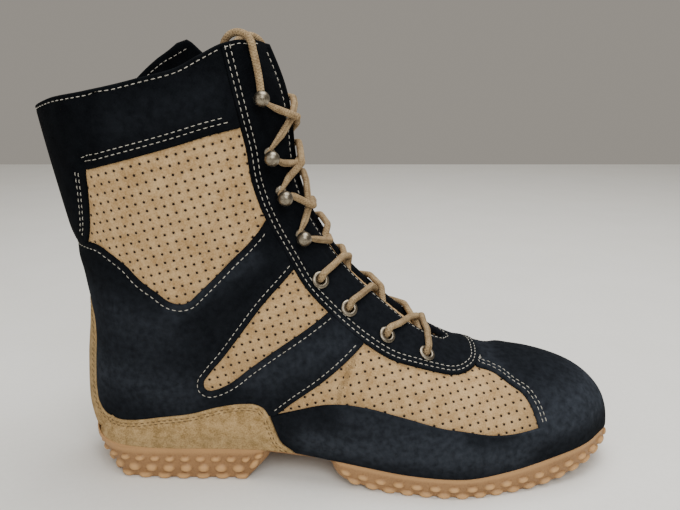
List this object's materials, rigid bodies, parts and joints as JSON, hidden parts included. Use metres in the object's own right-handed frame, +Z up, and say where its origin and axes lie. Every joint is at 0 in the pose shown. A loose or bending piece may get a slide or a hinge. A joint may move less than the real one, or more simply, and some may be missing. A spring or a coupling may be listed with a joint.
{
  "type": "lace-up boot",
  "caption": "Navy and tan suede lace-up boot with perforated panels, eyelets and ball lace studs, on a gum rubber sole with oval studs.",
  "frame": {"origin": "on the floor, in the middle of the boot's box in plan", "axes": "+X to the toe, +Y to the inner side of the foot, +Z up"},
  "size_m": [0.3081, 0.0993, 0.2345],
  "materials": {
    "gum_rubber": "satin moulded gum rubber",
    "insole_board": "matte sock lining",
    "tan_suede": "matte perforated suede",
    "counter_suede": "matte rough suede",
    "navy_suede": "matte napped suede",
    "antique_metal": "antique plated",
    "lace_cord": "woven round cord"
  },
  "bodies": {
    "root": {"outsole": "gum_rubber", "insole": "insole_board", "upper": "tan_suede", "tongue": "tan_suede", "toe_cap": "navy_suede", "quarter": "navy_suede", "heel_counter": "counter_suede", "eyestay": "navy_suede", "cuff_lateral": "navy_suede", "cuff_medial": "navy_suede", "backstay": "navy_suede", "eyelet_lateral_1": "antique_metal", "eyelet_lateral_2": "antique_metal", "eyelet_lateral_3": "antique_metal", "eyelet_lateral_4": "antique_metal", "eyelet_medial_1": "antique_metal", "eyelet_medial_2": "antique_metal", "eyelet_medial_3": "antique_metal", "eyelet_medial_4": "antique_metal", "lace_stud_lateral_5": "antique_metal", "lace_stud_lateral_6": "antique_metal", "lace_stud_lateral_7": "antique_metal", "lace_stud_lateral_8": "antique_metal", "lace_stud_medial_5": "antique_metal", "lace_stud_medial_6": "antique_metal", "lace_stud_medial_7": "antique_metal", "lace_stud_medial_8": "antique_metal", "lace_cross_1": "lace_cord", "lace_cross_2": "lace_cord", "lace_cross_3": "lace_cord", "lace_cross_4": "lace_cord", "lace_cross_5": "lace_cord", "lace_cross_6": "lace_cord", "lace_cross_7": "lace_cord", "lace_end_lateral": "lace_cord", "lace_end_medial": "lace_cord"}
  },
  "joints": []
}
